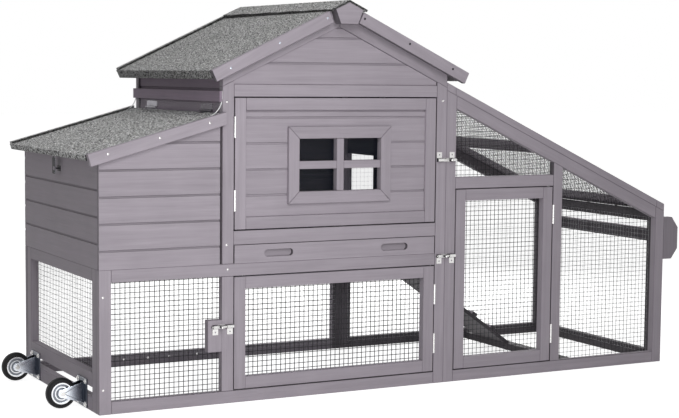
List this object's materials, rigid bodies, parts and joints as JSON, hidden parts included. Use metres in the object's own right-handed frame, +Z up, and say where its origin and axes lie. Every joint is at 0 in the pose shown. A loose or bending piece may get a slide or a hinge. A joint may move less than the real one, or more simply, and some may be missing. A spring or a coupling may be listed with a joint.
{
  "type": "chicken tractor",
  "caption": "Wheeled timber hen coop: hinged-lid nest box, raised house with windowed door and slide-out tray, wire-mesh run with ramp, doors on bolts, casters and a grip board.",
  "frame": {"origin": "middle of the bounding box's footprint, on the ground", "axes": "+X from the nest box to the run, +Y from the front with the doors to the back, +Z up"},
  "size_m": [2.171, 0.806, 1.1872],
  "materials": {
    "paint": "matt opaque paint over sawn softwood",
    "wire": "dull galvanised wire",
    "felt": "mineral-faced roofing felt",
    "clear_film": "clear flexible sheet",
    "pane": "clear plastic glazing",
    "zinc": "zinc-plated sheet",
    "hub": "satin",
    "rubber": "solid rubber",
    "nickel": "bright plated"
  },
  "bodies": {
    "coop": {"base_front_frame": "paint", "base_back_frame": "paint", "base_left_frame": "paint", "base_mesh": "wire", "nest_side_walls": "paint", "nest_end_wall": "paint", "nest_floor": "paint", "nest_divider": "paint", "house_front_frame": "paint", "house_back_frame": "paint", "gable_siding": "paint", "house_back_siding": "paint", "house_left_wall": "paint", "house_right_wall": "paint", "perch": "paint", "tray_runners": "paint", "roof_decks": "paint", "roof_felts": "felt", "ridge_cap": "felt", "bargeboards": "paint", "rain_flap": "clear_film", "ramp": "paint", "run_front_frame": "paint", "run_back_frame": "paint", "run_end_frame": "paint", "run_roof_frame": "paint", "run_mesh": "wire", "run_roof_mesh": "wire", "handle_plates": "paint", "handle_grip": "paint", "caster_brackets": "zinc", "caster_axles": "nickel", "latch_plates": "nickel", "hinge_fixed_leaves": "nickel"},
    "house_door": {"house_door_frame": "paint", "house_door_siding": "paint", "window_frame": "paint", "window_pane": "pane", "house_door_leaves": "nickel"},
    "base_door": {"base_door_frame": "paint", "base_door_mesh": "wire", "base_door_leaves": "nickel"},
    "run_door": {"run_door_frame": "paint", "run_door_mesh": "wire", "run_door_leaves": "nickel"},
    "tray": {"tray_front": "paint", "tray_pan": "zinc"},
    "nest_lid": {"nest_lid_deck": "paint", "nest_lid_felt": "felt", "nest_lid_barge": "paint", "nest_lid_leaves": "nickel"},
    "hasp": {"hasp_strap": "zinc"},
    "house_latch": {"house_bolt": "nickel"},
    "run_latch": {"run_bolt": "nickel"},
    "base_latch": {"base_bolt": "nickel"},
    "front_wheel": {"front_tyre": "rubber", "front_hub": "hub"},
    "back_wheel": {"back_tyre": "rubber", "back_hub": "hub"}
  },
  "joints": [
    {"name": "house_door_hinge", "type": "hinge", "parent": "coop", "child": "house_door", "pos_m": [-0.564, -0.3447, 0.7], "axis": [0, 0, -1], "range_deg": [0, 110]},
    {"name": "base_door_hinge", "type": "hinge", "parent": "coop", "child": "base_door", "pos_m": [0.118, -0.3447, 0.205], "axis": [0, 0, 1], "range_deg": [0, 110]},
    {"name": "run_door_hinge", "type": "hinge", "parent": "coop", "child": "run_door", "pos_m": [0.564, -0.3447, 0.323], "axis": [0, 0, 1], "range_deg": [0, 110]},
    {"name": "tray_slide", "type": "slide", "parent": "coop", "child": "tray", "axis": [0, -1, 0], "range_m": [0, 0.6]},
    {"name": "nest_lid_hinge", "type": "hinge", "parent": "coop", "child": "nest_lid", "pos_m": [-0.5992, 0.012, 0.85306], "axis": [0, 1, 0], "range_deg": [0, 65], "deforming": ["rain_flap"]},
    {"name": "hasp_hinge", "type": "hinge", "parent": "nest_lid", "child": "hasp", "pos_m": [-0.9915, 0.012, 0.71715], "axis": [0, 1, 0], "range_deg": [-10, 65]},
    {"name": "house_bolt_slide", "type": "slide", "parent": "coop", "child": "house_latch", "axis": [-1, 0, 0], "range_m": [0, 0.014]},
    {"name": "run_bolt_slide", "type": "slide", "parent": "coop", "child": "run_latch", "axis": [1, 0, 0], "range_m": [0, 0.014]},
    {"name": "base_bolt_slide", "type": "slide", "parent": "coop", "child": "base_latch", "axis": [1, 0, 0], "range_m": [0, 0.014]},
    {"name": "front_wheel_spin", "type": "hinge", "parent": "coop", "child": "front_wheel", "pos_m": [-1.0415, -0.199, 0.0445], "axis": [0, 1, 0], "continuous": true},
    {"name": "back_wheel_spin", "type": "hinge", "parent": "coop", "child": "back_wheel", "pos_m": [-1.0415, 0.253, 0.0445], "axis": [0, 1, 0], "continuous": true}
  ]
}
